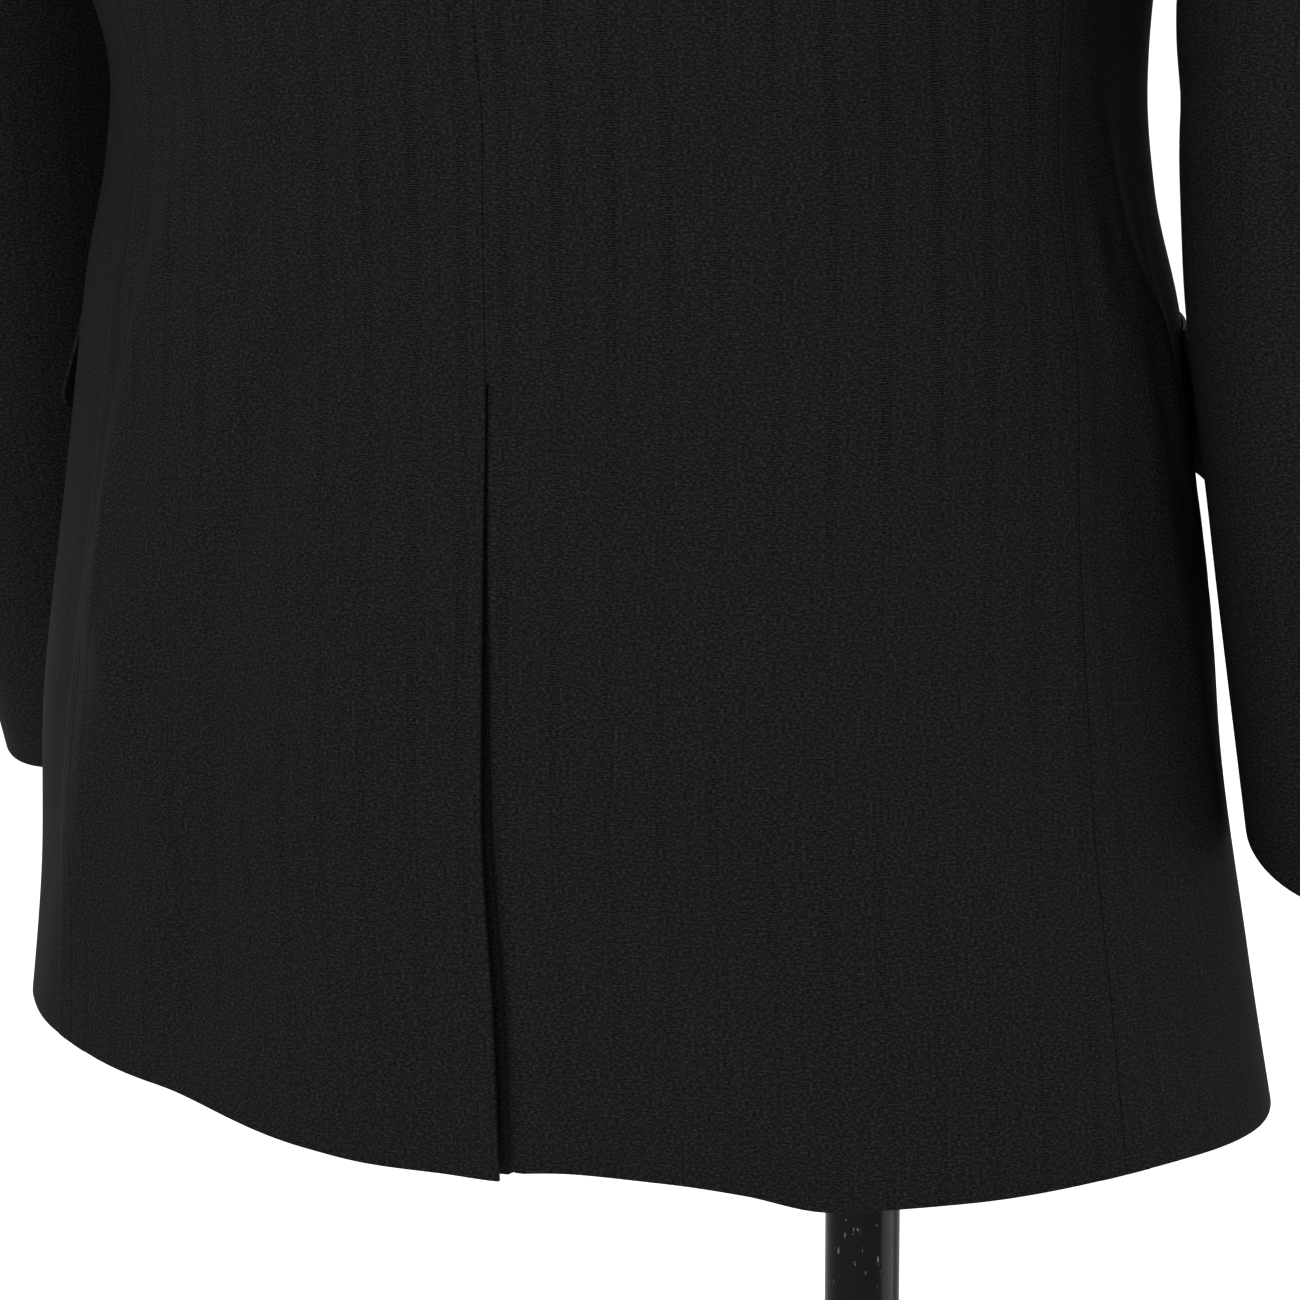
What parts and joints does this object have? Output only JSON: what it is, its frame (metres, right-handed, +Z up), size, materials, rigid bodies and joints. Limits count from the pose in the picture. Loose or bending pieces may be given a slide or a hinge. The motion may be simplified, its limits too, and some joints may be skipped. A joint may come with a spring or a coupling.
{
  "type": "suit jacket on a dress form",
  "caption": "Black shadow stripe suit jacket with notch lapels and a centre back vent, worn by a limbless dress form on an offset pole and a round base.",
  "frame": {"origin": "centre of the round base's underside, on the floor", "axes": "+Z up; the jacket's front faces -Y and its back +Y; +X is the wearer's left"},
  "size_m": [0.5772, 0.38, 1.6363],
  "materials": {
    "suiting": "matt black worsted with a fine crepe grain and a faint woven stripe",
    "button_horn": "polished black",
    "black_paint": "satin black paint with chips and scratches",
    "form_linen": "plain natural linen cover"
  },
  "bodies": {
    "root": {"back_left": "suiting", "back_right": "suiting", "side_left": "suiting", "side_right": "suiting", "front_left": "suiting", "front_right": "suiting", "lapel_left": "suiting", "lapel_right": "suiting", "collar": "suiting", "top_sleeve_left": "suiting", "top_sleeve_right": "suiting", "under_sleeve_left": "suiting", "under_sleeve_right": "suiting", "pocket_flap_left": "suiting", "pocket_flap_right": "suiting", "pocket_jet_left": "suiting", "pocket_jet_right": "suiting", "front_button_1": "button_horn", "front_button_2": "button_horn", "form_torso": "form_linen", "neck_cap": "black_paint", "pole": "black_paint", "pole_flange": "black_paint", "base_plate": "black_paint"}
  },
  "joints": []
}
